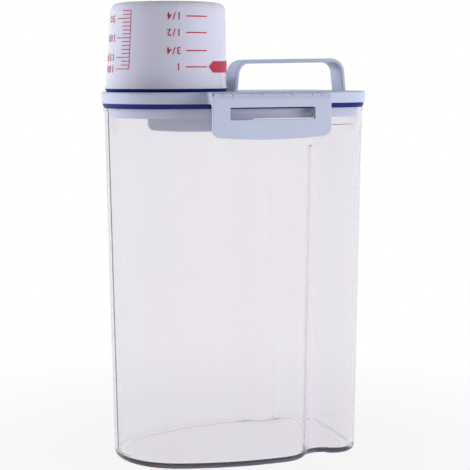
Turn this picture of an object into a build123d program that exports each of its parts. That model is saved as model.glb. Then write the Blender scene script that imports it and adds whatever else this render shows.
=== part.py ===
from build123d import *
import math
import os

# A clear keeper jar: spout under a measuring cup, strap handle and two side latches.
# X runs along the jar from the spout end to the handle end, Y across it, Z up. The origin is
# the middle of the footprint on the surface that the jar stands on. Millimetres throughout.

# Plan of the jar at its foot, set out from the spout's axis
spout_x = -42.0
nose_offset = 7.5
nose_radius = 43.15
belly_offset = 59.8
belly_half_depth = 53.4
corner_offset = 103.2
corner_radius = 14.6
end_radius = 300.0

# Finger groove, one in each long side
groove_radius = 12.0
groove_depth = 11.4
shoulder_radius = 20.0
groove_top_drop = 24.5
groove_fade = 14.0

# Jar heights and walls
jar_height = 227.5
jar_flare = 3.75
wall = 2.5
floor_thickness = 3.6
foot_rounding = 3.5
foot_ring_width = 7.0
foot_recess = 1.0
flange_grow = 4.4
flange_thickness = 1.9
inner_rounding = 2.0

# Lid, with its levels set out from the jar's mouth
lid_grow = 5.6
rim_wall = 1.9
bead_height = 3.0
rim_height = 7.1
deck_thickness = 2.4
deck_rounding = 1.3
skirt_clearance = 0.45
skirt_wall = 2.0
skirt_reach = 6.0
deck_rib_thickness = 1.4
deck_rib_depth = 5.0
deck_rib_offset = 66.0
deck_rib_pitch = 16.0
deck_rib_count = 3

# Spout collar in the deck
collar_radius = 36.5
collar_wall = 2.2
collar_height = 10.1
mouth_radius = 32.4
collar_notch_width = 8.0
collar_notch_height = 3.2
collar_notch_depth = 0.7
collar_notch_rise = 4.6
collar_rounding = 0.6

# Gaskets
bead_grow = 4.6
bead_chamfer = 1.1
gasket_fit = 0.2
stem_width = 2.2
stem_gap = 0.3
stem_end_gap = 0.3
spout_ring_height = 2.1
spout_ring_top_radius = 39.3
spout_ring_foot_radius = 38.0

# Measuring cup
cup_rim_radius = 39.2
cup_bead = 0.35
cup_bead_height = 1.6
cup_top_radius = 36.6
cup_height = 53.7
cup_lean = 1.7
cup_wall = 1.35
cup_end_wall = 1.7
cup_rounding = 5.0
cup_inner_rounding = 3.8

# Strap handle
handle_width = 16.6
strap = 2.5
handle_offset = 43.7
handle_end_inset = 0.3
handle_lean = 2.25
handle_rise_left = 20.2
handle_rise_right = 21.3
handle_rounding = 9.5
handle_edge_rounding = 0.7
foot_length = 14.0
foot_thickness = 1.3
foot_margin = 1.5
peg_inset = 3.0
peg_spacing = 10.0
peg_radius = 2.0
peg_head_radius = 2.7
peg_head_height = 1.6
peg_head_taper = 25

# Latches and their hinges, set out from the spout's axis and down from the deck
latch_offset = 46.9
latch_length = 79.6
latch_stand = 2.5
latch_plate = 2.0
latch_shoulder_drop = 4.2
latch_bottom_drop = 28.9
latch_bottom_sag_radius = 400.0
latch_corner = 5.0
latch_edge_rounding = 0.6
window_length = 56.8
window_height = 7.4
window_drop = 9.2
window_corner = 0.6
window_edge_rounding = 0.4
hinge_stand = 2.0
hinge_drop = 2.0
barrel_radius = 1.7
journal_radius = 0.85
bearing_gap = 0.3
cheek_thickness = 1.4
cheek_height = 6.6
cheek_gap = 0.7
ear_width = 6.0
ear_count = 4
ear_pitch = 20.0
ear_side_gap = 0.35
ear_mouth = 1.5
pad_stand = 5.3
pad_inset = 1.0
pad_wall = 1.8
catch_gap = 0.3
catch_rise = 0.7
catch_height = 2.9
catch_end_gap = 0.6

# Dependent places
nose_x = spout_x + nose_offset
belly_x = spout_x + belly_offset
corner_x = spout_x + corner_offset
latch_x = spout_x + latch_offset
belly_radius = ((belly_x - nose_x) ** 2 + belly_half_depth**2 - nose_radius**2) / (
    2 * (belly_half_depth - nose_radius)
)
belly_centre = Vector(belly_x, belly_radius - belly_half_depth)
nose_centre = Vector(nose_x, 0)
corner_reach = belly_radius - corner_radius
corner_drop = math.sqrt(corner_reach**2 - (corner_x - belly_x) ** 2)
corner_centre = Vector(corner_x, belly_centre.Y - corner_drop)
end_reach = math.sqrt((end_radius - corner_radius) ** 2 - corner_centre.Y**2)
end_centre = Vector(corner_x - end_reach, 0)
groove_centre_y = groove_depth - belly_half_depth - groove_radius
groove_step = math.sqrt(
    (groove_radius + corner_radius) ** 2 - (corner_centre.Y - groove_centre_y) ** 2
)
groove_centre = Vector(corner_x - groove_step, groove_centre_y)
jar_mouth_grow = jar_flare - wall
skirt_grow = jar_mouth_grow - skirt_clearance
channel_outer_grow = lid_grow - rim_wall
groove_top = jar_height - groove_top_drop
groove_fade_top = groove_top + groove_fade
skirt_bottom = jar_height - skirt_reach
rim_bottom = jar_height + bead_height
deck_top = rim_bottom + rim_height
deck_bottom = deck_top - deck_thickness
collar_top = deck_top + collar_height
stem_top = deck_bottom - stem_end_gap
spout_ring_top = deck_top + spout_ring_height
cup_top = spout_ring_top + cup_height
handle_foot_left = spout_x + handle_offset
handle_foot_right = end_centre.X + end_radius + lid_grow - handle_end_inset
handle_shoulder_left = handle_foot_left + handle_lean
handle_shoulder_right = handle_foot_right - handle_lean
handle_top_left = deck_top + handle_rise_left
handle_top_right = deck_top + handle_rise_right
pad_face = belly_half_depth + pad_stand
hinge_y = pad_face + hinge_stand
hinge_z = deck_top - hinge_drop
latch_face = hinge_y + latch_stand
latch_shoulder_z = deck_top - latch_shoulder_drop
latch_bottom = deck_top - latch_bottom_drop
window_top = deck_top - window_drop
window_bottom = window_top - window_height
cheek_bottom = hinge_z - cheek_height
cheek_back = pad_face + cheek_gap
plate_back = latch_face - latch_plate
catch_bottom = window_bottom + catch_rise
catch_face = plate_back - catch_gap
catch_root = nose_radius
catch_length = window_length - 2 * catch_end_gap
catch_depth = catch_face - catch_root
catch_middle = (catch_face + catch_root) / 2


def circles_meet(a, a_radius, b, b_radius):
    """Return the point where two circles cross that lies further left."""
    between = b - a
    gap = between.length
    along = (gap**2 + a_radius**2 - b_radius**2) / (2 * gap)
    across = math.sqrt(a_radius**2 - along**2)
    foot = a + between * (along / gap)
    side = Vector(-between.Y, between.X) * (across / gap)
    return min(foot + side, foot - side, key=lambda point: point.X)


shoulder_centre = circles_meet(
    belly_centre,
    belly_radius - shoulder_radius,
    groove_centre,
    shoulder_radius + groove_radius,
)


def towards(start, end):
    """Return the direction from one point to another, in radians."""
    return math.atan2(end.Y - start.Y, end.X - start.X)


def on_circle(centre, radius, angle):
    """Return the point of a circle at an angle given in radians."""
    return centre + Vector(math.cos(angle), math.sin(angle)) * radius


def outline(level, grow, grooved=False):
    """Return the plan outline, grown outwards, as a face at a level.

    The plain and the grooved outline have the same number of arcs, laid in the same order,
    so that a loft can run from one to the other.
    """
    nose_end = towards(belly_centre, nose_centre)
    shoulder_start = towards(belly_centre, shoulder_centre)
    shoulder_end = towards(shoulder_centre, groove_centre)
    groove_end = towards(groove_centre, corner_centre)
    corner_start = towards(belly_centre, corner_centre)
    corner_end = towards(end_centre, corner_centre)
    middle = (shoulder_start + corner_start) / 2
    arcs = [
        (nose_centre, nose_radius + grow, -math.pi, nose_end),
        (belly_centre, belly_radius + grow, nose_end, shoulder_start),
    ]
    if grooved:
        arcs += [
            (shoulder_centre, shoulder_radius + grow, shoulder_start, shoulder_end),
            (groove_centre, groove_radius - grow, shoulder_end + math.pi, groove_end),
            (corner_centre, corner_radius + grow, groove_end - math.pi, corner_end),
        ]
    else:
        arcs += [
            (belly_centre, belly_radius + grow, shoulder_start, middle),
            (belly_centre, belly_radius + grow, middle, corner_start),
            (corner_centre, corner_radius + grow, corner_start, corner_end),
        ]
    arcs.append((end_centre, end_radius + grow, corner_end, 0))
    front = []
    back = []
    lift = Vector(0, 0, level)
    for centre, radius, start, end in arcs:
        points = [on_circle(centre, radius, angle) for angle in (start, (start + end) / 2, end)]
        mirrored = [Vector(point.X, -point.Y) for point in reversed(points)]
        front.append(Edge.make_three_point_arc(*[point + lift for point in points]))
        back.append(Edge.make_three_point_arc(*[point + lift for point in mirrored]))
    return Face(Wire(front + back[::-1]))


def jar_grow(level):
    """Return how far the drafted jar wall stands outside its foot outline at a level."""
    return jar_flare * level / jar_height


def jar_sections(start, inset):
    """Return the jar's plan sections, inset from the outer wall, from a level up to its top."""
    places = [(start, True), (groove_top, True), (groove_fade_top, False), (jar_height, False)]
    return [outline(level, jar_grow(level) - inset, grooved) for level, grooved in places]


def ring(bottom, height, outer_grow, inner_grow):
    """Return a hoop that follows the plain outline between two offsets."""
    outer = extrude(outline(bottom, outer_grow), height, dir=(0, 0, 1))
    inner = extrude(outline(bottom, inner_grow), height, dir=(0, 0, 1))
    return outer - inner


def tangent_point(point, centre, radius, turn):
    """Return where a line from a point touches a circle, on the side given by turn."""
    away = point - centre
    angle = math.atan2(away.Y, away.X) + turn * math.acos(radius / away.length)
    return on_circle(centre, radius, angle)


sides = (-1, 1)
latch_start = latch_x - latch_length / 2
ear_places = [latch_x + ear_pitch * (index - (ear_count - 1) / 2) for index in range(ear_count)]

# Jar: outer body, lofted with its finger grooves, then the flange and the catch ribs
outer_sections = jar_sections(0, 0)
inner_sections = jar_sections(floor_thickness, wall)
flange = extrude(outline(jar_height - flange_thickness, flange_grow), flange_thickness, dir=(0, 0, 1))
foot_outline = outline(0, -foot_ring_width)
with BuildPart() as cavity:
    for pair in zip(inner_sections, inner_sections[1:]):
        loft(sections=pair, ruled=True)
    fillet(cavity.faces().sort_by(Axis.Z)[0].edges(), inner_rounding)

with BuildPart() as jar:
    for pair in zip(outer_sections, outer_sections[1:]):
        loft(sections=pair, ruled=True)
    fillet(jar.faces().sort_by(Axis.Z)[0].edges(), foot_rounding)
    add(flange)
    for side in sides:
        with BuildSketch(Plane.XY.offset(catch_bottom)):
            with Locations((latch_x, side * catch_middle)):
                Rectangle(catch_length, catch_depth)
        extrude(amount=catch_height)
    add(cavity.part, mode=Mode.SUBTRACT)
    extrude(foot_outline, foot_recess, dir=(0, 0, 1), mode=Mode.SUBTRACT)
jar.part.label = "jar"

# Lid: deck with a hanging rim, inner skirt, spout collar, hinge pads and handle seats
deck_face = outline(deck_bottom, lid_grow)
inside_rim = outline(rim_bottom, channel_outer_grow)
rim = ring(rim_bottom, deck_bottom - rim_bottom, lid_grow, channel_outer_grow)
skirt = ring(skirt_bottom, deck_bottom - skirt_bottom, skirt_grow, skirt_grow - skirt_wall)
under_deck = extrude(
    outline(deck_bottom - deck_rib_depth, skirt_grow), deck_rib_depth, dir=(0, 0, 1)
)
pad_length = latch_length - 2 * pad_inset
foot_width = handle_width + 2 * foot_margin
foot_places = (
    (handle_foot_left + foot_length / 2, handle_foot_left + foot_length - peg_inset),
    (handle_foot_right - foot_length / 2, handle_foot_right - foot_length + peg_inset),
)
peg_spots = [(peg_x, side * peg_spacing / 2) for _, peg_x in foot_places for side in sides]
rib_start = spout_x + deck_rib_offset
rib_places = [rib_start + deck_rib_pitch * index for index in range(deck_rib_count)]

with BuildPart() as deck_ribs:
    with BuildSketch(Plane.XY.offset(deck_bottom - deck_rib_depth)):
        with Locations([(place, 0) for place in rib_places]):
            Rectangle(deck_rib_thickness, 2 * belly_half_depth)
    extrude(amount=deck_rib_depth)
    add(under_deck, mode=Mode.INTERSECT)

with BuildPart() as lid:
    extrude(deck_face, deck_thickness, dir=(0, 0, 1))
    fillet(lid.faces().sort_by(Axis.Z)[-1].edges(), deck_rounding)
    for side in sides:
        with BuildSketch(Plane.XY.offset(rim_bottom)):
            with Locations((latch_x, side * (pad_face + nose_radius) / 2)):
                Rectangle(pad_length, pad_face - nose_radius)
        extrude(amount=deck_top - rim_bottom)
        with BuildSketch(Plane.XY.offset(rim_bottom)):
            with Locations((latch_x, side * (pad_face - pad_wall + nose_radius) / 2)):
                Rectangle(pad_length - 2 * pad_wall, pad_face - pad_wall - nose_radius)
        extrude(amount=deck_bottom - rim_bottom, mode=Mode.SUBTRACT)
    add(rim)
    extrude(inside_rim, deck_bottom - rim_bottom, dir=(0, 0, 1), mode=Mode.SUBTRACT)
    add(skirt)
    add(deck_ribs.part)
    for side in sides:
        with BuildSketch(Plane.XY.offset(rim_bottom)):
            with Locations((latch_x, side * (pad_face + latch_face) / 2)):
                Rectangle(latch_length, latch_face - pad_face)
        extrude(amount=deck_top - rim_bottom, mode=Mode.SUBTRACT)
    with BuildSketch(Plane.XY.offset(deck_top)):
        with Locations((spout_x, 0)):
            Circle(collar_radius)
            Circle(collar_radius - collar_wall, mode=Mode.SUBTRACT)
    extrude(amount=collar_height)
    fillet(lid.edges().group_by(Axis.Z)[-1], collar_rounding)
    with BuildSketch(Plane.XY.offset(deck_top + collar_notch_rise)):
        with Locations([(spout_x, side * collar_radius) for side in sides]):
            Rectangle(collar_notch_width, 2 * collar_notch_depth)
    extrude(amount=collar_notch_height, mode=Mode.SUBTRACT)
    with BuildSketch(Plane.XY.offset(deck_bottom)):
        with Locations((spout_x, 0)):
            Circle(mouth_radius)
    extrude(amount=deck_thickness, mode=Mode.SUBTRACT)
    with BuildSketch(Plane.XY.offset(deck_top - foot_thickness)):
        with Locations([(middle, 0) for middle, _ in foot_places]):
            Rectangle(foot_length, foot_width)
        with Locations((handle_foot_right, 0)):
            Rectangle(2 * deck_rounding, foot_width)
    extrude(amount=foot_thickness, mode=Mode.SUBTRACT)
    with BuildSketch(Plane.XY.offset(deck_bottom)):
        with Locations(peg_spots):
            Circle(peg_radius)
    extrude(amount=deck_thickness, mode=Mode.SUBTRACT)
    for side in sides:
        for place in ear_places:
            with BuildSketch(Plane.YZ.offset(place - ear_width / 2)):
                with Locations((side * hinge_y, hinge_z)):
                    Circle(barrel_radius)
                with Locations((side * (hinge_y + pad_face - pad_wall) / 2, hinge_z)):
                    Rectangle(hinge_y - pad_face + pad_wall, 2 * journal_radius + bearing_gap)
                with Locations((side * hinge_y, hinge_z)):
                    Circle(journal_radius + bearing_gap, mode=Mode.SUBTRACT)
                with Locations((side * hinge_y, hinge_z + barrel_radius)):
                    Rectangle(ear_mouth, 2 * barrel_radius, mode=Mode.SUBTRACT)
            extrude(amount=ear_width)
lid.part.label = "lid"

# Handle: strap arch with feet let into the deck and pegs that snap through it
with BuildPart() as handle:
    with BuildSketch(Plane.XZ):
        with BuildLine():
            Polyline(
                (handle_foot_left, deck_top),
                (handle_shoulder_left, handle_top_left),
                (handle_shoulder_right, handle_top_right),
                (handle_foot_right, deck_top),
                close=True,
            )
        make_face()
        with BuildLine():
            Polyline(
                (handle_foot_left + strap, deck_top),
                (handle_shoulder_left + strap, handle_top_left - strap),
                (handle_shoulder_right - strap, handle_top_right - strap),
                (handle_foot_right - strap, deck_top),
                close=True,
            )
        make_face(mode=Mode.SUBTRACT)
    extrude(amount=handle_width / 2, both=True)
    high = [edge for edge in handle.edges().filter_by(Axis.Y) if edge.center().Z > deck_top + strap]
    outer = sorted(high, key=lambda edge: edge.center().Z)[-2:]
    inner = sorted(high, key=lambda edge: edge.center().Z)[:-2]
    fillet(outer, handle_rounding)
    fillet(inner, handle_rounding - strap)
    rims = [
        edge
        for face in (handle.faces().sort_by(Axis.Y)[0], handle.faces().sort_by(Axis.Y)[-1])
        for edge in face.edges()
        if edge.center().Z > deck_top + handle_edge_rounding
    ]
    fillet(rims, handle_edge_rounding)
    with BuildSketch(Plane.XY.offset(deck_top - foot_thickness)):
        with Locations([(middle, 0) for middle, _ in foot_places]):
            Rectangle(foot_length, foot_width)
    extrude(amount=foot_thickness)
    with BuildSketch(Plane.XY.offset(deck_bottom - peg_head_height)):
        with Locations(peg_spots):
            Circle(peg_radius)
    extrude(amount=deck_thickness + peg_head_height - foot_thickness)
    with BuildSketch(Plane.XY.offset(deck_bottom)):
        with Locations(peg_spots):
            Circle(peg_head_radius)
    extrude(amount=-peg_head_height, taper=peg_head_taper)
handle.part.label = "handle"

# Main gasket: a stem pushed up into the lid's channel over a bead that meets the jar
stem_start = skirt_grow + gasket_fit + stem_gap
bead = ring(jar_height, bead_height, bead_grow, skirt_grow + gasket_fit)
stem = ring(rim_bottom, stem_top - rim_bottom, stem_start + stem_width, stem_start)
with BuildPart() as main_gasket:
    add(bead)
    foot_edges = main_gasket.faces().sort_by(Axis.Z)[0].outer_wire().edges()
    chamfer(foot_edges, bead_chamfer)
    add(stem)
main_gasket.part.label = "main_gasket"

# Spout gasket: a flared ring round the root of the collar
with BuildPart() as spout_gasket:
    with BuildSketch(Plane.XY.offset(deck_top)):
        with Locations((spout_x, 0)):
            Circle(spout_ring_foot_radius)
    with BuildSketch(Plane.XY.offset(spout_ring_top)):
        with Locations((spout_x, 0)):
            Circle(spout_ring_top_radius)
    loft()
    with BuildSketch(Plane.XY.offset(deck_top)):
        with Locations((spout_x, 0)):
            Circle(collar_radius)
    extrude(amount=spout_ring_height, mode=Mode.SUBTRACT)
spout_gasket.part.label = "spout_gasket"


def make_latch(side):
    """Return one latch, front for side -1 and rear for side 1."""
    axis = Vector(hinge_y, hinge_z)
    face_corner = Vector(latch_face, latch_shoulder_z)
    back_corner = Vector(plate_back, latch_shoulder_z - latch_plate)
    slope_end = tangent_point(face_corner, axis, barrel_radius, 1)
    back_end = tangent_point(back_corner, axis, barrel_radius, -1)
    low = latch_bottom - latch_corner
    section = [face_corner, slope_end, axis, back_end, back_corner]
    section += [Vector(plate_back, low), Vector(latch_face, low)]
    cheek = [
        (plate_back, cheek_bottom),
        (cheek_back, cheek_bottom + latch_plate),
        (cheek_back, hinge_z),
        (plate_back, hinge_z),
    ]
    bottom_rise = latch_length**2 / (8 * latch_bottom_sag_radius)
    with BuildPart() as latch:
        with BuildSketch(Plane.YZ.offset(latch_start)):
            with BuildLine():
                Polyline(*[(side * point.X, point.Y) for point in section], close=True)
            make_face()
            with Locations((side * hinge_y, hinge_z)):
                Circle(barrel_radius)
        extrude(amount=latch_length)
        for start in (latch_start, latch_start + latch_length - cheek_thickness):
            with BuildSketch(Plane.YZ.offset(start)):
                with BuildLine():
                    Polyline(*[(side * y, z) for y, z in cheek], close=True)
                make_face()
            extrude(amount=cheek_thickness)
        with BuildSketch(Plane.XZ) as silhouette:
            with BuildLine():
                left = (latch_start, latch_bottom + bottom_rise)
                right = (latch_start + latch_length, latch_bottom + bottom_rise)
                ThreePointArc(left, (latch_x, latch_bottom), right)
                Polyline(right, (right[0], deck_top), (left[0], deck_top), left)
            make_face()
            fillet(silhouette.vertices().group_by(Axis.Z)[0], latch_corner)
            with Locations((latch_x, (window_bottom + window_top) / 2)):
                RectangleRounded(window_length, window_height, window_corner, mode=Mode.SUBTRACT)
        extrude(amount=2 * latch_face, both=True, mode=Mode.INTERSECT)
        outer_face = latch.faces().filter_by(Axis.Y).sort_by(lambda face: side * face.center().Y)[-1]
        fillet(outer_face.outer_wire().edges(), latch_edge_rounding)
        outer_face = latch.faces().filter_by(Axis.Y).sort_by(lambda face: side * face.center().Y)[-1]
        fillet(outer_face.inner_wires()[0].edges(), window_edge_rounding)
        for place in ear_places:
            with BuildSketch(Plane.YZ.offset(place - ear_width / 2 - ear_side_gap)):
                with Locations((side * hinge_y, hinge_z)):
                    Circle(barrel_radius + bearing_gap)
            extrude(amount=ear_width + 2 * ear_side_gap, mode=Mode.SUBTRACT)
        with BuildSketch(Plane.YZ.offset(latch_start)):
            with Locations((side * hinge_y, hinge_z)):
                Circle(journal_radius)
        extrude(amount=latch_length)
    return latch.part


front_latch = make_latch(-1)
front_latch.label = "front_latch"
rear_latch = make_latch(1)
rear_latch.label = "rear_latch"

# Measuring cup: inverted over the collar, its closed end a little nearer the handle
cup_rim_bottom = spout_ring_top
cup_wall_radius = cup_rim_radius - cup_bead
with BuildPart() as cup_hollow:
    with BuildSketch(Plane.XY.offset(cup_rim_bottom)):
        with Locations((spout_x, 0)):
            Circle(cup_wall_radius - cup_wall)
    with BuildSketch(Plane.XY.offset(cup_top - cup_end_wall)):
        with Locations((spout_x + cup_lean, 0)):
            Circle(cup_top_radius - cup_wall)
    loft()
    fillet(cup_hollow.edges().group_by(Axis.Z)[-1], cup_inner_rounding)

with BuildPart() as measuring_cup:
    with BuildSketch(Plane.XY.offset(cup_rim_bottom)):
        with Locations((spout_x, 0)):
            Circle(cup_wall_radius)
    with BuildSketch(Plane.XY.offset(cup_top)):
        with Locations((spout_x + cup_lean, 0)):
            Circle(cup_top_radius)
    loft()
    fillet(measuring_cup.edges().group_by(Axis.Z)[-1], cup_rounding)
    with BuildSketch(Plane.XY.offset(cup_rim_bottom)):
        with Locations((spout_x, 0)):
            Circle(cup_rim_radius)
    extrude(amount=cup_bead_height)
    add(cup_hollow.part, mode=Mode.SUBTRACT)
measuring_cup.part.label = "measuring_cup"

os.makedirs("parts", exist_ok=True)
pieces = (
    jar.part,
    lid.part,
    handle.part,
    main_gasket.part,
    spout_gasket.part,
    front_latch,
    rear_latch,
    measuring_cup.part,
)
for piece in pieces:
    export_step(piece, f"parts/{piece.label}.step")
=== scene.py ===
"""Looks of a clear keeper jar with a measuring cup over its spout.

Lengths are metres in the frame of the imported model: X along the jar, Y across it, Z up.
The cup's print alone is given in millimetres.
"""

import logging
import math
from dataclasses import dataclass, field
from enum import Enum
from typing import ClassVar

import bmesh
import bpy
from mathutils import Matrix, Vector


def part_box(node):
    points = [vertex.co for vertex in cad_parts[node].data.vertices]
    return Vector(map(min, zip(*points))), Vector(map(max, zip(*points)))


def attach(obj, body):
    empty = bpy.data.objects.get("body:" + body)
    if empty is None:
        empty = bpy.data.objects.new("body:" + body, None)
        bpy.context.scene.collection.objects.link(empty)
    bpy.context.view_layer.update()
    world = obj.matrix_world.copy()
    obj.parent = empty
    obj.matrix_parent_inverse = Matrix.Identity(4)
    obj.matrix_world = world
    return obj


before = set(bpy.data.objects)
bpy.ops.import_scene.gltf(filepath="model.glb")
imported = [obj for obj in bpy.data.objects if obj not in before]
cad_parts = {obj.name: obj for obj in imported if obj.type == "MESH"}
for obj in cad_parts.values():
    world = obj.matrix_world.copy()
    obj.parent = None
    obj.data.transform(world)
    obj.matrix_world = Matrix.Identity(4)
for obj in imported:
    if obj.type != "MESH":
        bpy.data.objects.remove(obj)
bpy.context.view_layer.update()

LOG = logging.getLogger("keeper_jar")
MM = 0.001
WHITE = (1, 1, 1, 1)


class Side(Enum):
    """Which long side of the jar a latch hangs on, with the latch's node."""

    FRONT = "front_latch"
    REAR = "rear_latch"


class Signal:
    """A node's output socket that can be used in arithmetic.

    Args:
        sheet: the node sheet that the socket belongs to.
        socket: the output socket.
    """

    def __init__(self, sheet: "Sheet", socket: bpy.types.NodeSocket) -> None:
        """Keep the sheet and the socket."""
        self.sheet = sheet
        self.socket = socket

    def worked(self, operation: str, other: object = 0.0) -> "Signal":
        """Return the result of any other Math operation on self and other."""
        return self._with(operation, self, other)

    def _with(self, operation: str, left: object, right: object = 0.0) -> "Signal":
        """Return the result of one Math node.

        Args:
            operation: the Math node's operation.
            left: the first value or signal.
            right: the second value or signal.

        Returns:
            The node's output as a signal.
        """
        return self.sheet.node("ShaderNodeMath", {"operation": operation}, {0: left, 1: right})

    def __add__(self, other: object) -> "Signal":
        """Return self plus other."""
        return self._with("ADD", self, other)

    def __radd__(self, other: object) -> "Signal":
        """Return other plus self."""
        return self._with("ADD", other, self)

    def __sub__(self, other: object) -> "Signal":
        """Return self less other."""
        return self._with("SUBTRACT", self, other)

    def __rsub__(self, other: object) -> "Signal":
        """Return other less self."""
        return self._with("SUBTRACT", other, self)

    def __mul__(self, other: object) -> "Signal":
        """Return self times other."""
        return self._with("MULTIPLY", self, other)

    def __rmul__(self, other: object) -> "Signal":
        """Return other times self."""
        return self._with("MULTIPLY", other, self)

    def __truediv__(self, other: object) -> "Signal":
        """Return self divided by other."""
        return self._with("DIVIDE", self, other)

    def __rtruediv__(self, other: object) -> "Signal":
        """Return other divided by self."""
        return self._with("DIVIDE", other, self)

    def __pow__(self, other: object) -> "Signal":
        """Return self raised to other."""
        return self._with("POWER", self, other)

    def at(self, name: str) -> "Signal":
        """Return another output of the same node, by its name."""
        return Signal(self.sheet, self.socket.node.outputs[name])


class Sheet:
    """A node tree under construction.

    Args:
        tree: the node tree to fill. It is emptied first.
    """

    def __init__(self, tree: bpy.types.NodeTree) -> None:
        """Empty the tree and keep it."""
        self.tree = tree
        tree.nodes.clear()

    def node(self, kind: str, settings: dict | None = None, inputs: dict | None = None) -> Signal:
        """Add one node.

        Args:
            kind: the node's type.
            settings: its properties, which are set first. A ramp's "stops" are pairs of
                place and colour.
            inputs: values or signals for its sockets, by name or number.

        Returns:
            Its first output as a signal.
        """
        made = self.tree.nodes.new(kind)
        for name, value in (settings or {}).items():
            if name == "stops":
                self._set_stops(made.color_ramp, value)
            else:
                setattr(made, name, value)
        for key, value in (inputs or {}).items():
            socket = made.inputs[key]
            if isinstance(value, Signal):
                self.tree.links.new(value.socket, socket)
            else:
                socket.default_value = value
        return Signal(self, made.outputs[0]) if made.outputs else None

    @staticmethod
    def _set_stops(ramp: bpy.types.ColorRamp, stops: list) -> None:
        """Give a colour ramp its stops.

        Args:
            ramp: the ramp.
            stops: pairs of place and RGBA colour, in rising order.
        """
        while len(ramp.elements) < len(stops):
            ramp.elements.new(1.0)
        for element, (place, colour) in zip(ramp.elements, stops):
            element.position = place
            element.color = colour

    def place(self) -> Signal:
        """Return the Object coordinates."""
        return self.node("ShaderNodeTexCoord").at("Object")

    def noise(self, vector: Signal, scale: float, detail: float = 2.0) -> Signal:
        """Return a noise value.

        Args:
            vector: where the noise is read.
            scale: its features per metre.
            detail: its octaves.

        Returns:
            The value, from 0 to 1.
        """
        inputs = {"Vector": vector, "Scale": scale, "Detail": detail}
        return self.node("ShaderNodeTexNoise", {"noise_dimensions": "3D"}, inputs)

    def blend(self, share: object, first: tuple, second: tuple) -> Signal:
        """Return a colour between two colours.

        Args:
            share: how much of the second colour shows, from 0 to 1.
            first: an RGBA colour.
            second: an RGBA colour.

        Returns:
            The mixed colour.
        """
        # Sockets 6, 7 and output 2 are the node's own for colours.
        settings = {"data_type": "RGBA", "clamp_factor": True}
        mixed = self.node("ShaderNodeMix", settings, {0: share, 6: first, 7: second})
        return Signal(self, mixed.socket.node.outputs[2])

    def bump(self, height: Signal, depth: float, strength: float) -> Signal:
        """Return a normal bent by a height.

        Args:
            height: the height signal.
            depth: the height of a value of 1, in metres.
            strength: how much of the bend is kept.

        Returns:
            The normal.
        """
        inputs = {"Height": height, "Distance": depth, "Strength": strength}
        return self.node("ShaderNodeBump", None, inputs)

    def finish(self, surface: Signal, volume: Signal | None = None) -> None:
        """Send the shaders to the tree's output.

        Args:
            surface: the surface shader.
            volume: the volume shader, if the material has one.
        """
        ends = {"Surface": surface} | ({"Volume": volume} if volume else {})
        self.node("ShaderNodeOutputMaterial", None, ends)


def linear(red: int, green: int, blue: int) -> tuple[float, float, float, float]:
    """Return a display colour as a linear RGBA colour.

    Args:
        red: 0 to 255.
        green: 0 to 255.
        blue: 0 to 255.

    Returns:
        The linear colour, opaque.
    """

    def channel(value: int) -> float:
        """Return one channel's linear value."""
        share = value / 255
        return share / 12.92 if share <= 0.04045 else ((share + 0.055) / 1.055) ** 2.4

    return (channel(red), channel(green), channel(blue), 1.0)


def new_material(name: str) -> tuple[bpy.types.Material, Sheet]:
    """Make a material.

    Args:
        name: its name.

    Returns:
        The material and its empty node sheet.
    """
    material = bpy.data.materials.new(name)
    material.use_nodes = True
    return material, Sheet(material.node_tree)


@dataclass(frozen=True)
class MouldedPlastic:
    """Opaque satin plastic with a faint moulding grain.

    Attributes:
        name: the material's name.
        colour: its main colour.
        shade: the colour of its slightly deeper patches.
        roughness: its roughness between patches.
        patch_roughness: how much rougher a patch is.
        patch_share: how much of the shade a patch shows.
        patch_scale: the patches per metre.
        grain_scale: the grains per metre.
        grain_depth: the grain's height in metres.
        grain_strength: how much of the grain's bend is kept.
        refraction: its index of refraction.
    """

    name: str
    colour: tuple
    shade: tuple
    roughness: float = 0.31
    patch_roughness: float = 0.1
    patch_share: float = 0.7
    patch_scale: float = 22.0
    grain_scale: float = 2600.0
    grain_depth: float = 0.00002
    grain_strength: float = 0.35
    refraction: float = 1.49

    def make(self) -> bpy.types.Material:
        """Make the finish.

        Returns:
            The material.
        """
        material, sheet = new_material(self.name)
        place = sheet.place()
        patches = sheet.noise(place, self.patch_scale, detail=3.0)
        grain = sheet.noise(place, self.grain_scale, detail=2.0)
        surface = sheet.node(
            "ShaderNodeBsdfPrincipled",
            None,
            {
                "Base Color": sheet.blend(patches * self.patch_share, self.colour, self.shade),
                "Roughness": self.roughness + patches * self.patch_roughness,
                "Normal": sheet.bump(grain, self.grain_depth, self.grain_strength),
                "IOR": self.refraction,
            },
        )
        sheet.finish(surface)
        return material


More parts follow.
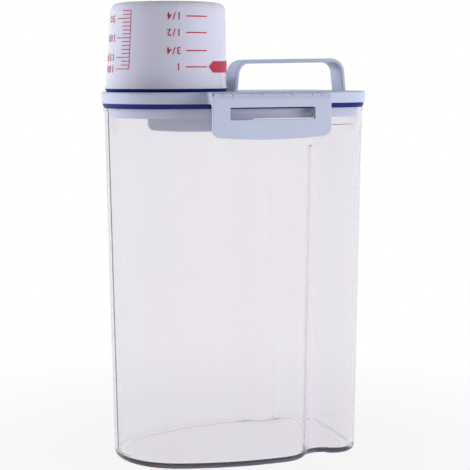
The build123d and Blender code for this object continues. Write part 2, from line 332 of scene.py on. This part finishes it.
@dataclass(frozen=True)
class SoftRubber:
    """Soft seal rubber, a little uneven in sheen.

    Attributes:
        name: the material's name.
        colour: its main colour.
        bloom: the paler colour where it is rubbed.
        roughness: its roughness where it isn't rubbed.
        bloom_roughness: how much rougher the bloom is.
        bloom_share: how much of the bloom's colour shows.
        bloom_scale: the blooms per metre.
        grain_scale: the grains per metre.
        grain_depth: the grain's height in metres.
        grain_strength: how much of the grain's bend is kept.
        refraction: its index of refraction.
    """

    name: str
    colour: tuple
    bloom: tuple
    roughness: float = 0.42
    bloom_roughness: float = 0.15
    bloom_share: float = 0.6
    bloom_scale: float = 60.0
    grain_scale: float = 3500.0
    grain_depth: float = 0.00003
    grain_strength: float = 0.4
    refraction: float = 1.4

    def make(self) -> bpy.types.Material:
        """Make the finish.

        Returns:
            The material.
        """
        material, sheet = new_material(self.name)
        place = sheet.place()
        bloom = sheet.noise(place, self.bloom_scale, detail=4.0)
        grain = sheet.noise(place, self.grain_scale, detail=2.0)
        rubbed = bloom * bloom * self.bloom_share
        surface = sheet.node(
            "ShaderNodeBsdfPrincipled",
            None,
            {
                "Base Color": sheet.blend(rubbed, self.colour, self.bloom),
                "Roughness": self.roughness + bloom * self.bloom_roughness,
                "Normal": sheet.bump(grain, self.grain_depth, self.grain_strength),
                "IOR": self.refraction,
            },
        )
        sheet.finish(surface)
        return material


@dataclass(frozen=True)
class ClearPlastic:
    """Clear moulded plastic that light from the lamps passes through.

    Attributes:
        name: the material's name.
        tint: what one wall lets through.
        cloud: the tint where the moulding is a little cloudy.
        body: the colour that shows where the plastic is deep.
        density: how soon that colour shows, per metre.
        clearness: the share of light that passes, and isn't scattered.
        roughness: its roughness where it is clearest.
        cloud_roughness: how much rougher it is where it is cloudy.
        cloud_scale: the clouds per metre.
        ripple_scale: the ripples of its surface per metre.
        ripple_depth: a ripple's height in metres.
        ripple_strength: how much of the ripples' bend is kept.
        refraction: its index of refraction.
    """

    name: str
    tint: tuple
    cloud: tuple
    body: tuple
    density: float
    clearness: float = 0.96
    roughness: float = 0.03
    cloud_roughness: float = 0.03
    cloud_scale: float = 14.0
    ripple_scale: float = 60.0
    ripple_depth: float = 0.00004
    ripple_strength: float = 0.25
    refraction: float = 1.5

    def make(self) -> bpy.types.Material:
        """Make the finish.

        Returns:
            The material.
        """
        material, sheet = new_material(self.name)
        place = sheet.place()
        clouds = sheet.noise(place, self.cloud_scale, detail=3.0)
        ripple = sheet.noise(place, self.ripple_scale, detail=1.0)
        surface = sheet.node(
            "ShaderNodeBsdfPrincipled",
            None,
            {
                "Base Color": sheet.blend(clouds, self.tint, self.cloud),
                "Roughness": self.roughness + clouds * self.cloud_roughness,
                "Normal": sheet.bump(ripple, self.ripple_depth, self.ripple_strength),
                "IOR": self.refraction,
                "Transmission Weight": self.clearness,
            },
        )
        half_tint = tuple(math.sqrt(channel) for channel in self.tint)
        passing = sheet.node("ShaderNodeBsdfTransparent", None, {"Color": half_tint})
        lamp_rays = sheet.node("ShaderNodeLightPath").at("Is Shadow Ray")
        seen = sheet.node("ShaderNodeMixShader", None, {0: lamp_rays, 1: surface, 2: passing})
        through = {"Color": self.body, "Density": self.density}
        sheet.finish(seen, sheet.node("ShaderNodeVolumeAbsorption", None, through))
        return material


@dataclass(frozen=True)
class PrintedInk:
    """Screen-printed ink, thin enough to look slightly uneven.

    Attributes:
        name: the material's name.
        colour: the ink's colour.
        thin: its colour where it is thin.
        roughness: its roughness where it is thick.
        thin_roughness: how much rougher it is where it is thin.
        thin_share: how much of the thin colour shows.
        cover_scale: the thin places per metre.
        cover_depth: how much lower a thin place is, in metres.
        cover_strength: how much of that bend is kept.
    """

    name: str
    colour: tuple
    thin: tuple
    roughness: float = 0.3
    thin_roughness: float = 0.15
    thin_share: float = 0.6
    cover_scale: float = 900.0
    cover_depth: float = 0.00001
    cover_strength: float = 0.3

    def make(self) -> bpy.types.Material:
        """Make the finish.

        Returns:
            The material.
        """
        material, sheet = new_material(self.name)
        place = sheet.place()
        cover = sheet.noise(place, self.cover_scale, detail=2.0)
        surface = sheet.node(
            "ShaderNodeBsdfPrincipled",
            None,
            {
                "Base Color": sheet.blend(cover * self.thin_share, self.colour, self.thin),
                "Roughness": self.roughness + cover * self.thin_roughness,
                "Normal": sheet.bump(cover, self.cover_depth, self.cover_strength),
            },
        )
        sheet.finish(surface)
        return material


PALE_BLUE = MouldedPlastic("pale_blue_plastic", linear(192, 199, 222), linear(187, 195, 219))
GREY_BLUE = MouldedPlastic("grey_blue_plastic", linear(188, 195, 216), linear(182, 190, 212))
NAVY = SoftRubber("navy_rubber", linear(4, 20, 104), linear(16, 36, 122))
CLEAR_JAR = ClearPlastic(
    "clear_jar_plastic",
    tint=(0.97, 0.955, 0.965, 1.0),
    cloud=(0.955, 0.94, 0.955, 1.0),
    body=(0.5, 0.47, 0.62, 1.0),
    density=50.0,
    clearness=0.97,
)
CLEAR_CUP = ClearPlastic(
    "clear_cup_plastic",
    tint=(0.79, 0.78, 0.85, 1.0),
    cloud=(0.75, 0.75, 0.84, 1.0),
    body=(0.46, 0.46, 0.64, 1.0),
    density=110.0,
    clearness=0.5,
    roughness=0.05,
)
RED_INK = PrintedInk("red_ink", linear(168, 10, 46), linear(184, 36, 72))


def dress(node: str, material: bpy.types.Material) -> bpy.types.Object:
    """Give a model node a material in its object's slots.

    Args:
        node: the node's name.
        material: the material.

    Returns:
        The node's object.
    """
    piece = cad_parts[node]
    if not piece.material_slots:
        piece.data.materials.append(material)
    for slot in piece.material_slots:
        slot.link = "OBJECT"
        slot.material = material
    LOG.info("dressed %s", node)
    return piece


def plain_mesh(piece: bpy.types.Object) -> bpy.types.Mesh:
    """Turn an object, as it looks after its modifiers, into a plain mesh.

    Args:
        piece: the object. It stays as it is.

    Returns:
        The new mesh.
    """
    bpy.context.view_layer.update()
    graph = bpy.context.evaluated_depsgraph_get()
    return bpy.data.meshes.new_from_object(piece.evaluated_get(graph))


def spout_axis() -> float:
    """Return the X place of the spout's axis."""
    low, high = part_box("spout_gasket")
    return (low.x + high.x) / 2


@dataclass
class Lamp:
    """One soft rectangular lamp.

    Attributes:
        name: the lamp's name.
        bearing: where it stands round the object, in degrees from -Y towards +X.
        distance: how far off it stands.
        level: its height.
        size: its width and height.
        power: its power in watts.
    """

    name: str
    bearing: float
    distance: float
    level: float
    size: tuple
    power: float

    def build(self, aim: tuple) -> bpy.types.Object:
        """Return the lamp.

        Args:
            aim: the point that it faces.

        Returns:
            The lamp's object.
        """
        data = bpy.data.lights.new(self.name, "AREA")
        data.shape = "RECTANGLE"
        data.size, data.size_y = self.size
        data.energy = self.power
        lamp = bpy.data.objects.new(self.name, data)
        turn = math.radians(self.bearing)
        ahead, across = math.cos(turn), math.sin(turn)
        lamp.location = (self.distance * across, -self.distance * ahead, self.level)
        lamp.visible_glossy = False
        lamp.visible_transmission = False
        lamp.rotation_mode = "QUATERNION"
        lamp.rotation_quaternion = (Vector(aim) - lamp.location).to_track_quat("-Z", "Y")
        bpy.context.scene.collection.objects.link(lamp)
        return lamp


@dataclass
class Studio:
    """The camera, the pale floor and the soft lamps.

    Attributes:
        camera_place: where the camera stands, from the foot of the spout's axis.
        turn: how far its view is turned from +Y towards +X, in degrees.
        tilt: how far it looks down, in degrees.
        roll: its roll, in degrees.
        picture: the picture's width in pixels.
        focal_pixels: its focal length in pixels.
        sensor: its sensor's width in millimetres.
        nearest: how near it sees.
        farthest: how far it sees.
        floor_size: half the floor's side.
        middle: the point that the lamps face.
        dim: the world's strength on what it lights.
        sky: the world's colour on what it lights.
        glow: the share of the floor's white that lights the object from below.
        floor_colour: the floor's colour where the lamps light it.
        floor_white: how white the floor is under the object, where 1 hides its shadow.
        white_from: how far from the object the floor starts to whiten, in metres.
        white_within: over what distance it whitens, in metres.
        lamps: the lamps.
    """

    camera_place: tuple = (-0.28682, -0.80516, 0.24864)
    turn: float = 22.54
    tilt: float = 6.93
    roll: float = 0.19
    picture: float = 470.0
    focal_pixels: float = 1324.3
    sensor: float = 36.0
    nearest: float = 0.05
    farthest: float = 30.0
    floor_size: float = 3.0
    middle: tuple = (0, 0, 0.16)
    dim: float = 0.15
    sky: tuple = (0.96, 0.97, 1, 1)
    glow: float = 0.5
    floor_colour: tuple = (0.93, 0.93, 0.94, 1)
    floor_white: float = 0.84
    white_from: float = 0.075
    white_within: float = 0.25
    lamps: tuple = (
        Lamp("key_lamp", 47.0, 2.0, 0.2, (1.4, 1.0), 45),
        Lamp("side_lamp", -118.0, 2.0, 0.4, (1.2, 1.2), 46),
        Lamp("back_lamp", 165.0, 2.0, 0.9, (1.4, 1.2), 3),
    )

    def make_camera(self) -> bpy.types.Object:
        """Make the camera at the photograph's viewpoint.

        Returns:
            The camera, which the scene now uses.
        """
        turn, tilt, roll = (math.radians(a) for a in (self.turn, self.tilt, self.roll))
        level = math.cos(tilt)
        ahead = Vector((math.sin(turn) * level, math.cos(turn) * level, -math.sin(tilt)))
        right = Vector((math.cos(turn), -math.sin(turn), 0))
        above = right.cross(ahead)
        rolled_right = math.cos(roll) * right - math.sin(roll) * above
        rolled_above = math.sin(roll) * right + math.cos(roll) * above
        data = bpy.data.cameras.new("photo_camera")
        data.sensor_width = self.sensor
        data.lens = self.focal_pixels / self.picture * self.sensor
        data.clip_start = self.nearest
        data.clip_end = self.farthest
        camera = bpy.data.objects.new("photo_camera", data)
        turned = Matrix((rolled_right, rolled_above, -ahead)).transposed().to_4x4()
        place = Vector(self.camera_place) + Vector((spout_axis(), 0, 0))
        camera.matrix_world = Matrix.Translation(place) @ turned
        bpy.context.scene.collection.objects.link(camera)
        bpy.context.scene.camera = camera
        return camera

    @staticmethod
    def is_looked_at(sheet: Sheet) -> Signal:
        """Tell what is looked at from what only lights the object.

        Args:
            sheet: the node sheet that asks.

        Returns:
            1 for what the camera, gloss and clear plastic see, and 0 for other light.
        """
        path = sheet.node("ShaderNodeLightPath")
        seen = path.at("Is Camera Ray") + path.at("Is Glossy Ray") + path.at("Is Transmission Ray")
        return seen.worked("MINIMUM", 1.0)

    def make_floor(self) -> bpy.types.Object:
        """Make the floor, lit near the object and plain white far from it.

        Returns:
            The floor's object.
        """
        mesh = bpy.data.meshes.new("floor")
        half = self.floor_size
        corners = [(-half, -half, 0), (half, -half, 0), (half, half, 0), (-half, half, 0)]
        mesh.from_pydata(corners, [], [(0, 1, 2, 3)])
        floor = bpy.data.objects.new("floor", mesh)
        bpy.context.scene.collection.objects.link(floor)
        material, sheet = new_material("pale_floor")
        place = sheet.place()
        reach = sheet.node("ShaderNodeVectorMath", {"operation": "LENGTH"}, {0: place}).at("Value")
        white = sheet.node("ShaderNodeEmission", None, {"Color": WHITE, "Strength": 1.0})
        lit = sheet.node("ShaderNodeBsdfDiffuse", None, {"Color": self.floor_colour})
        settings = {"stops": [(0.0, (self.floor_white,) * 3 + (1,)), (1.0, WHITE)]}
        away = (reach - self.white_from) / self.white_within
        fade = sheet.node("ShaderNodeValToRGB", settings, {0: away})
        shown = fade * (self.glow + self.is_looked_at(sheet) * (1 - self.glow))
        sheet.finish(sheet.node("ShaderNodeMixShader", None, {0: shown, 1: lit, 2: white}))
        mesh.materials.append(material)
        return floor

    def make_world(self) -> bpy.types.World:
        """Make a plain world that shows white behind the object.

        Returns:
            The world.
        """
        world = bpy.data.worlds.new("studio")
        bpy.context.scene.world = world
        world.use_nodes = True
        sheet = Sheet(world.node_tree)
        shown = self.is_looked_at(sheet)
        dim = sheet.node("ShaderNodeBackground", None, {"Color": self.sky, "Strength": self.dim})
        bright = sheet.node("ShaderNodeBackground", None, {"Color": WHITE, "Strength": 1.0})
        mixed = sheet.node("ShaderNodeMixShader", None, {0: shown, 1: dim, 2: bright})
        sheet.node("ShaderNodeOutputWorld", None, {"Surface": mixed})
        return world

    def build(self) -> None:
        """Make the camera, floor, world and lamps."""
        self.make_camera()
        self.make_floor()
        self.make_world()
        for lamp in self.lamps:
            lamp.build(self.middle)
        bpy.context.scene.view_settings.view_transform = "Standard"
        LOG.info("set up the studio")


@dataclass
class KeeperJar:
    """The clear jar that everything else sits on.

    Attributes:
        node: its node in the model.
        finish: its plastic.
    """

    node: str = "jar"
    finish: ClearPlastic = CLEAR_JAR

    def build(self) -> None:
        """Dress the jar."""
        dress(self.node, self.finish.make())


@dataclass
class Lid:
    """The lid with its two seals.

    Attributes:
        node: the lid's node.
        finish: the lid's plastic.
        seals: the nodes of the soft seals.
        seal_finish: the seals' rubber.
    """

    node: str = "lid"
    finish: MouldedPlastic = PALE_BLUE
    seals: tuple = ("main_gasket", "spout_gasket")
    seal_finish: SoftRubber = NAVY

    def build(self) -> None:
        """Dress the lid and its seals."""
        dress(self.node, self.finish.make())
        rubber = self.seal_finish.make()
        for seal in self.seals:
            dress(seal, rubber)


@dataclass
class StrapHandle:
    """The strap handle on the lid.

    Attributes:
        node: its node in the model.
        finish: its plastic.
    """

    node: str = "handle"
    finish: MouldedPlastic = GREY_BLUE

    def build(self) -> None:
        """Dress the handle."""
        dress(self.node, self.finish.make())


@dataclass
class SideLatch:
    """One of the two latches.

    Attributes:
        side: the long side that it hangs on.
        finish: its plastic.
    """

    side: Side
    finish: MouldedPlastic = PALE_BLUE

    def build(self) -> None:
        """Dress the latch."""
        dress(self.side.value, self.finish.make())


@dataclass
class TickRuler:
    """A ruler of ticks that follows a tapered round wall, made by geometry nodes.

    Lengths are in metres and the place is in radians round the wall.

    Attributes:
        count: how many ticks it has.
        first_level: the level of the first tick.
        step: how far each tick is below the last.
        first_tens: what the first tick stands for, in tens.
        last_tens: what the last tick stands for, in tens.
        long_every: a tick for a multiple of this is long, and so is the last.
        short_length: the length of a short tick.
        long_length: the length of a long tick.
        line: the line's thickness.
        place: the place of the ticks' common end.
        foot_level: the level of the wall's foot.
        top_level: the level of the wall's top.
        foot_radius: the wall's radius at its foot.
        top_radius: the wall's radius at its top.
        axis: the X place of the wall's axis at its foot.
        lean: how far the axis has moved along X at the top.
        points_along: how many points a tick has along it, so that it bends with the wall.
    """

    points_along: ClassVar[int] = 7

    count: int
    first_level: float
    step: float
    first_tens: float
    last_tens: float
    long_every: float
    short_length: float
    long_length: float
    line: float
    place: float
    foot_level: float
    top_level: float
    foot_radius: float
    top_radius: float
    axis: float
    lean: float

    def make_tree(self, material: bpy.types.Material) -> bpy.types.NodeTree:
        """Return the tree that makes the ticks.

        Args:
            material: what the ticks are printed with.

        Returns:
            The geometry node tree.
        """
        tree = bpy.data.node_groups.new("tick_ruler", "GeometryNodeTree")
        tree.interface.new_socket("Geometry", in_out="OUTPUT", socket_type="NodeSocketGeometry")
        for name in vars(self):
            kind = "NodeSocketInt" if name == "count" else "NodeSocketFloat"
            tree.interface.new_socket(name, in_out="INPUT", socket_type=kind)
        sheet = Sheet(tree)
        given = sheet.node("NodeGroupInput")
        start = sheet.node("ShaderNodeCombineXYZ", None, {"Y": given.at("first_level")})
        apart = sheet.node("ShaderNodeCombineXYZ", None, {"Y": given.at("step") * -1.0})
        inputs = {"Count": given.at("count"), "Start Location": start, "Offset": apart}
        points = sheet.node("GeometryNodeMeshLine", {"mode": "OFFSET"}, inputs)
        tens = sheet.node("GeometryNodeInputIndex") + given.at("first_tens")
        left_over = tens.worked("MODULO", given.at("long_every"))
        is_last = tens.worked("GREATER_THAN", given.at("last_tens") - 0.5)
        is_long = left_over.worked("LESS_THAN", 0.5).worked("MAXIMUM", is_last)
        short = given.at("short_length")
        length = short + is_long * (given.at("long_length") - short)
        inputs = {"Size X": 1.0, "Size Y": 1.0, "Vertices X": self.points_along, "Vertices Y": 2}
        grid = sheet.node("GeometryNodeMeshGrid", None, inputs)
        inputs = {"Geometry": grid, "Translation": (-0.5, 0, 0)}
        moved = sheet.node("GeometryNodeTransform", None, inputs)
        inputs = {"X": length, "Y": given.at("line"), "Z": 1.0}
        scale = sheet.node("ShaderNodeCombineXYZ", None, inputs)
        inputs = {"Points": points, "Instance": moved, "Scale": scale}
        ticks = sheet.node("GeometryNodeInstanceOnPoints", None, inputs)
        real = sheet.node("GeometryNodeRealizeInstances", None, {"Geometry": ticks})
        corner = sheet.node("GeometryNodeInputPosition")
        spot = sheet.node("ShaderNodeSeparateXYZ", None, {0: corner})
        level, foot, wall = spot.at("Y"), given.at("foot_level"), given.at("foot_radius")
        share = (level - foot) / (given.at("top_level") - foot)
        radius = wall + (given.at("top_radius") - wall) * share
        angle = given.at("place") + spot.at("X") / radius
        x = given.at("axis") + given.at("lean") * share + radius * angle.worked("SINE")
        y = radius * angle.worked("COSINE") * -1.0
        wrapped = sheet.node("ShaderNodeCombineXYZ", None, {"X": x, "Y": y, "Z": level})
        inputs = {"Geometry": real, "Position": wrapped}
        bent = sheet.node("GeometryNodeSetPosition", None, inputs)
        inputs = {"Geometry": bent, "Material": material}
        done = sheet.node("GeometryNodeSetMaterial", None, inputs)
        sheet.node("NodeGroupOutput", None, {0: done})
        return tree

    def build(self, material: bpy.types.Material) -> bpy.types.Mesh:
        """Return the ticks as a plain mesh.

        Args:
            material: what the ticks are printed with.

        Returns:
            The mesh.
        """
        holder = bpy.data.objects.new("tick_holder", bpy.data.meshes.new("tick_holder"))
        bpy.context.scene.collection.objects.link(holder)
        maker = holder.modifiers.new("ticks", "NODES")
        maker.node_group = self.make_tree(material)
        for item in maker.node_group.interface.items_tree:
            if item.in_out == "INPUT":
                maker[item.identifier] = getattr(self, item.name)
        ticks = plain_mesh(holder)
        bpy.data.objects.remove(holder)
        return ticks


@dataclass
class CupPrint:
    """The scales printed on the cup, upside down as it stands over the spout.

    Lengths are in millimetres and places in degrees round the cup's wall, where 0 faces -Y and
    larger is further towards +X.

    Attributes:
        lean: how far the cup's axis has moved along X at its top.
        foot_level: the level of the wall's foot.
        top_level: the level of the wall's top.
        foot_radius: the wall's outer radius at its foot.
        top_radius: the wall's outer radius at its top.
        proud: how far the print's inner face stands off the wall.
        ink: the ink's thickness.
        scale_place: the place of the millilitre scale's upright line.
        fifty_level: the level of its 50 mark.
        ten_step: how far apart its ticks are.
        first_tens: its first tick, in tens.
        last_tens: its last tick, in tens.
        long_every: every so many tens a tick is long.
        short_tick: the length of a short tick.
        long_tick: the length of a long tick.
        line: the thickness of its lines.
        number_place: the middle of its numbers.
        number_height: their height.
        number_stretch: how much wider than usual they are.
        share_place: the first edge of the other scale's figures.
        share_height: their height.
        spacing: how far apart figures are, as a share of the usual.
        boldness: how much each edge of a figure is moved out, as a share of its height.
        capital: the height of a figure as a share of the letter size.
        bar_start: the first end of the other scale's bars.
        bar_end: their last end.
        bar: their thickness.
        share_levels: their levels.
        share_words: their figures.
        tag_tip: the place of the arrow-shaped tag's tip.
        tag_shoulder: the place of its shoulder.
        tag_end: the place of its square end.
        tag_height: its height.
        arc_step: the longest step in degrees along a printed strip.
        curve_steps: how many steps each curve of a figure's outline takes.
        finish: the ink.
    """

    lean: float = 1.7
    foot_level: float = 239.7
    top_level: float = 293.4
    foot_radius: float = 38.85
    top_radius: float = 36.6
    proud: float = 0.03
    ink: float = 0.05
    scale_place: float = -57.0
    fifty_level: float = 283.0
    ten_step: float = 2.385
    first_tens: int = 3
    last_tens: int = 18
    long_every: int = 5
    short_tick: float = 7.0
    long_tick: float = 12.2
    line: float = 0.52
    number_place: float = -87.5
    number_height: float = 4.2
    number_stretch: float = 1.2
    share_place: float = -6.4
    share_height: float = 4.2
    spacing: float = 1.2
    boldness: float = 0.02
    capital: float = 0.69
    bar_start: float = -1.6
    bar_end: float = 21.0
    bar: float = 0.75
    share_levels: tuple = (284.0, 274.0, 263.0, 253.1)
    share_words: tuple = ("1/4", "1/2", "3/4", "1")
    tag_tip: float = 23.0
    tag_shoulder: float = 29.0
    tag_end: float = 67.0
    tag_height: float = 7.2
    arc_step: float = 2.5
    curve_steps: int = 3
    finish: PrintedInk = RED_INK

    def wall_radius(self, level: float) -> float:
        """Return the wall's radius at a level."""
        share = (level - self.foot_level) / (self.top_level - self.foot_level)
        return self.foot_radius + (self.top_radius - self.foot_radius) * share

    def on_wall(self, arc: float, level: float) -> Vector:
        """Return a point just off the cup's wall.

        Args:
            arc: the place round the wall, in degrees.
            level: the height in millimetres.

        Returns:
            The point, in metres.
        """
        share = (level - self.foot_level) / (self.top_level - self.foot_level)
        radius = self.wall_radius(level) + self.proud
        angle = math.radians(arc)
        x = spout_axis() / MM + self.lean * share + radius * math.sin(angle)
        return Vector((x, -radius * math.cos(angle), level)) * MM

    def degrees(self, length: float, level: float) -> float:
        """Return how many degrees of the wall an arc of that length takes at a level."""
        return math.degrees(length / self.wall_radius(level))

    def strip(
        self, sheet: bmesh.types.BMesh, start: float, end: float, low: float, high: float
    ) -> list:
        """Add one printed rectangle.

        Args:
            sheet: the mesh that takes it.
            start: its first place in degrees.
            end: its last place in degrees.
            low: its lower level in millimetres.
            high: its upper level in millimetres.

        Returns:
            The pairs of its lower and upper points, from start to end.
        """
        steps = max(1, math.ceil(abs(end - start) / self.arc_step))
        rows = []
        for index in range(steps + 1):
            arc = start + (end - start) * index / steps
            rows.append([sheet.verts.new(self.on_wall(arc, level)) for level in (low, high)])
        for left, right in zip(rows, rows[1:]):
            sheet.faces.new((left[0], right[0], right[1], left[1]))
        return rows

    def tag(self, sheet: bmesh.types.BMesh) -> None:
        """Add the bare arrow-shaped tag at the full-cup line."""
        level, half = self.share_levels[-1], self.tag_height / 2
        rows = self.strip(sheet, self.tag_shoulder, self.tag_end, level - half, level + half)
        tip = sheet.verts.new(self.on_wall(self.tag_tip, level))
        sheet.faces.new((tip, rows[0][0], rows[0][1]))

    def word(
        self,
        sheet: bmesh.types.BMesh,
        text: str,
        arc: float,
        level: float,
        height: float,
        stretch: float,
        align: str,
    ) -> None:
        """Add a word, upside down, at a place of the wall.

        Args:
            sheet: the mesh that takes it.
            text: the figures to print.
            arc: its place in degrees.
            level: the middle's level in millimetres.
            height: the figures' height in millimetres.
            stretch: how much wider than usual the figures are.
            align: whether the place is the word's "LEFT" or "CENTER".
        """
        curve = bpy.data.curves.new("word", "FONT")
        curve.body = text
        curve.align_x = align
        curve.align_y = "CENTER"
        curve.resolution_u = self.curve_steps
        curve.space_character = self.spacing
        curve.offset = self.boldness * height
        curve.size = height / self.capital
        drawn = bpy.data.objects.new("word", curve)
        bpy.context.scene.collection.objects.link(drawn)
        flat = plain_mesh(drawn)
        heights = [vertex.co.y for vertex in flat.vertices]
        middle = (min(heights) + max(heights)) / 2
        for vertex in flat.vertices:
            at_level = level - (vertex.co.y - middle)
            turned = arc - self.degrees(vertex.co.x * stretch, at_level)
            vertex.co = self.on_wall(turned, at_level)
        sheet.from_mesh(flat)
        bpy.data.objects.remove(drawn)
        bpy.data.curves.remove(curve)
        bpy.data.meshes.remove(flat)

    def ruler(self) -> TickRuler:
        """Return the ruler of the millilitre scale."""
        return TickRuler(
            count=self.last_tens - self.first_tens + 1,
            first_level=self.tens_level(self.first_tens) * MM,
            step=self.ten_step * MM,
            first_tens=self.first_tens,
            last_tens=self.last_tens,
            long_every=self.long_every,
            short_length=self.short_tick * MM,
            long_length=self.long_tick * MM,
            line=self.line * MM,
            place=math.radians(self.scale_place),
            foot_level=self.foot_level * MM,
            top_level=self.top_level * MM,
            foot_radius=(self.foot_radius + self.proud) * MM,
            top_radius=(self.top_radius + self.proud) * MM,
            axis=spout_axis(),
            lean=self.lean * MM,
        )

    def tens_level(self, tens: int) -> float:
        """Return the level of a mark of the millilitre scale, in millimetres."""
        return self.fifty_level - (tens - self.long_every) * self.ten_step

    def build(self) -> bpy.types.Object:
        """Print the cup.

        Returns:
            All of the print as one thin piece.
        """
        material = self.finish.make()
        sheet = bmesh.new()
        ticks = self.ruler().build(material)
        sheet.from_mesh(ticks)
        bpy.data.meshes.remove(ticks)
        half = self.degrees(self.line, self.fifty_level) / 2
        low, high = self.tens_level(self.last_tens), self.tens_level(self.first_tens)
        self.strip(sheet, self.scale_place - half, self.scale_place + half, low, high)
        height, stretch = self.number_height, self.number_stretch
        for tens in range(self.first_tens, self.last_tens + 1):
            if tens % self.long_every == 0 or tens == self.last_tens:
                text, level = str(tens * 10), self.tens_level(tens)
                self.word(sheet, text, self.number_place, level, height, stretch, "CENTER")
        half_bar = self.bar / 2
        for text, level in zip(self.share_words, self.share_levels):
            self.word(sheet, text, self.share_place, level, self.share_height, 1.0, "LEFT")
            self.strip(sheet, self.bar_start, self.bar_end, level - half_bar, level + half_bar)
        self.tag(sheet)
        for vertex in [v for v in sheet.verts if not v.link_faces]:
            sheet.verts.remove(vertex)
        for face in sheet.faces:
            face.material_index = 0
        mesh = bpy.data.meshes.new("cup_print")
        sheet.to_mesh(mesh)
        sheet.free()
        mesh.materials.clear()
        mesh.materials.append(material)
        piece = bpy.data.objects.new("cup_print", mesh)
        bpy.context.scene.collection.objects.link(piece)
        skin = piece.modifiers.new("ink_thickness", "SOLIDIFY")
        skin.thickness = self.ink * MM
        skin.offset = 1.0
        LOG.info("printed the cup")
        return piece


@dataclass
class MeasuringCup:
    """The cup that stands upside down over the spout, with its printed scales.

    Attributes:
        node: its node and its body in the model.
        finish: its plastic.
        scales: what is printed on it.
    """

    node: str = "measuring_cup"
    finish: ClearPlastic = CLEAR_CUP
    scales: CupPrint = field(default_factory=CupPrint)

    def build(self) -> None:
        """Dress the cup and print its scales."""
        dress(self.node, self.finish.make())
        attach(self.scales.build(), self.node)


def main() -> None:
    """Build every piece in order."""
    logging.basicConfig(level=logging.INFO, format="%(message)s")
    Studio().build()
    KeeperJar().build()
    Lid().build()
    StrapHandle().build()
    for side in Side:
        SideLatch(side).build()
    MeasuringCup().build()


if __name__ == "__main__":
    main()
